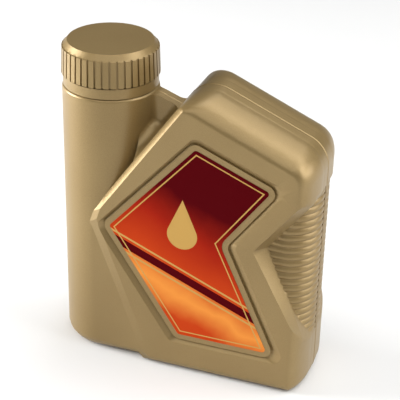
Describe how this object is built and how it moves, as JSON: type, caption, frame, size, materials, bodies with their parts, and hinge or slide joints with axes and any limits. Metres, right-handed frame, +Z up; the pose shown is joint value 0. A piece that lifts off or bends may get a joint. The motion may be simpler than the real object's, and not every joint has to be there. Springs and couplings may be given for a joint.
{
  "type": "motor oil bottle",
  "caption": "Blow-moulded plastic oil bottle: round neck column with a ribbed screw cap, chevron-shaped body, ribbed finger grips and a sunk label panel.",
  "frame": {"origin": "centre of the bounding box at the surface that the bottle stands on", "axes": "+Z up, the label faces -Y, the neck column is towards -X, the parting plane of the moulding is Y = 0"},
  "size_m": [0.15, 0.0578, 0.1828],
  "materials": {
    "body_plastic": "satin pearl bronze, moulded",
    "cap_plastic": "satin pearl bronze, moulded",
    "liner_foam": "matt foam sheet",
    "label_film": "printed film"
  },
  "bodies": {
    "bottle": {"bottle": "body_plastic", "tamper_band": "cap_plastic", "front_label": "label_film"},
    "liner": {"cap_liner": "liner_foam"},
    "cap": {"screw_cap": "cap_plastic"}
  },
  "joints": [
    {"name": "cap_lift", "type": "slide", "parent": "bottle", "child": "liner", "axis": [0, 0, 1], "range_m": [0, 0.0211]},
    {"name": "cap_turn", "type": "hinge", "parent": "liner", "child": "cap", "pos_m": [-0.0482, 0, 0.165], "axis": [0, 0, 1], "range_deg": [0, 1260]}
  ],
  "couplings": [
    {"joint": "cap_lift", "follows": "cap_turn", "m_per_rad": 0.00095493}
  ]
}
